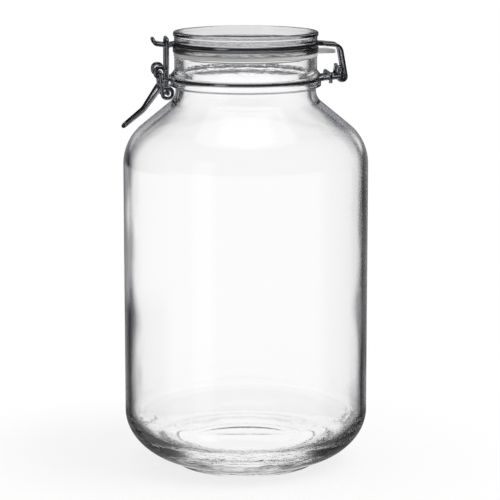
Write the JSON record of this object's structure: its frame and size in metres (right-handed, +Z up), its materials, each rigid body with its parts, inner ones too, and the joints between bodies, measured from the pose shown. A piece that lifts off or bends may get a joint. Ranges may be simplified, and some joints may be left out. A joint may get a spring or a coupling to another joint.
{
  "type": "clip-top glass storage jar",
  "caption": "Round clear glass storage jar with sloping shoulders, a hinged glass lid on a rubber ring, and a clip-top closure of bent steel wire with a lever latch.",
  "frame": {"origin": "middle of the foot ring, on the surface that the jar stands on", "axes": "+Z up along the jar's axis, +X towards the lid's hinge, -X towards the lever latch"},
  "size_m": [0.1601, 0.159, 0.284],
  "materials": {
    "clear_glass": "clear soda-lime glass, smooth",
    "lid_glass": "pressed clear soda-lime glass",
    "rubber": "translucent white rubber, satin",
    "steel_wire": "drawn stainless steel wire, bright"
  },
  "bodies": {
    "jar": {"jar": "clear_glass", "neck_wire": "steel_wire", "hoop_tie": "steel_wire"},
    "lid": {"lid": "lid_glass", "seal_ring": "rubber", "lid_wire": "steel_wire"},
    "lever": {"lever": "steel_wire"},
    "link": {"link": "steel_wire"}
  },
  "joints": [
    {"name": "lid_hinge", "type": "hinge", "parent": "jar", "child": "lid", "pos_m": [0.0616, 0, 0.2549], "axis": [0, 1, 0], "range_deg": [0, 110]},
    {"name": "lever_pivot", "type": "hinge", "parent": "jar", "child": "lever", "pos_m": [-0.0564, 0, 0.2593], "axis": [0, 1, 0], "range_deg": [0, 85]},
    {"name": "link_pivot", "type": "hinge", "parent": "lever", "child": "link", "pos_m": [-0.0516, 0, 0.2458], "axis": [0, 1, 0], "range_deg": [-60, 0]}
  ],
  "couplings": [
    {"joint": "link_pivot", "follows": "lever_pivot", "ratio": -0.7}
  ]
}
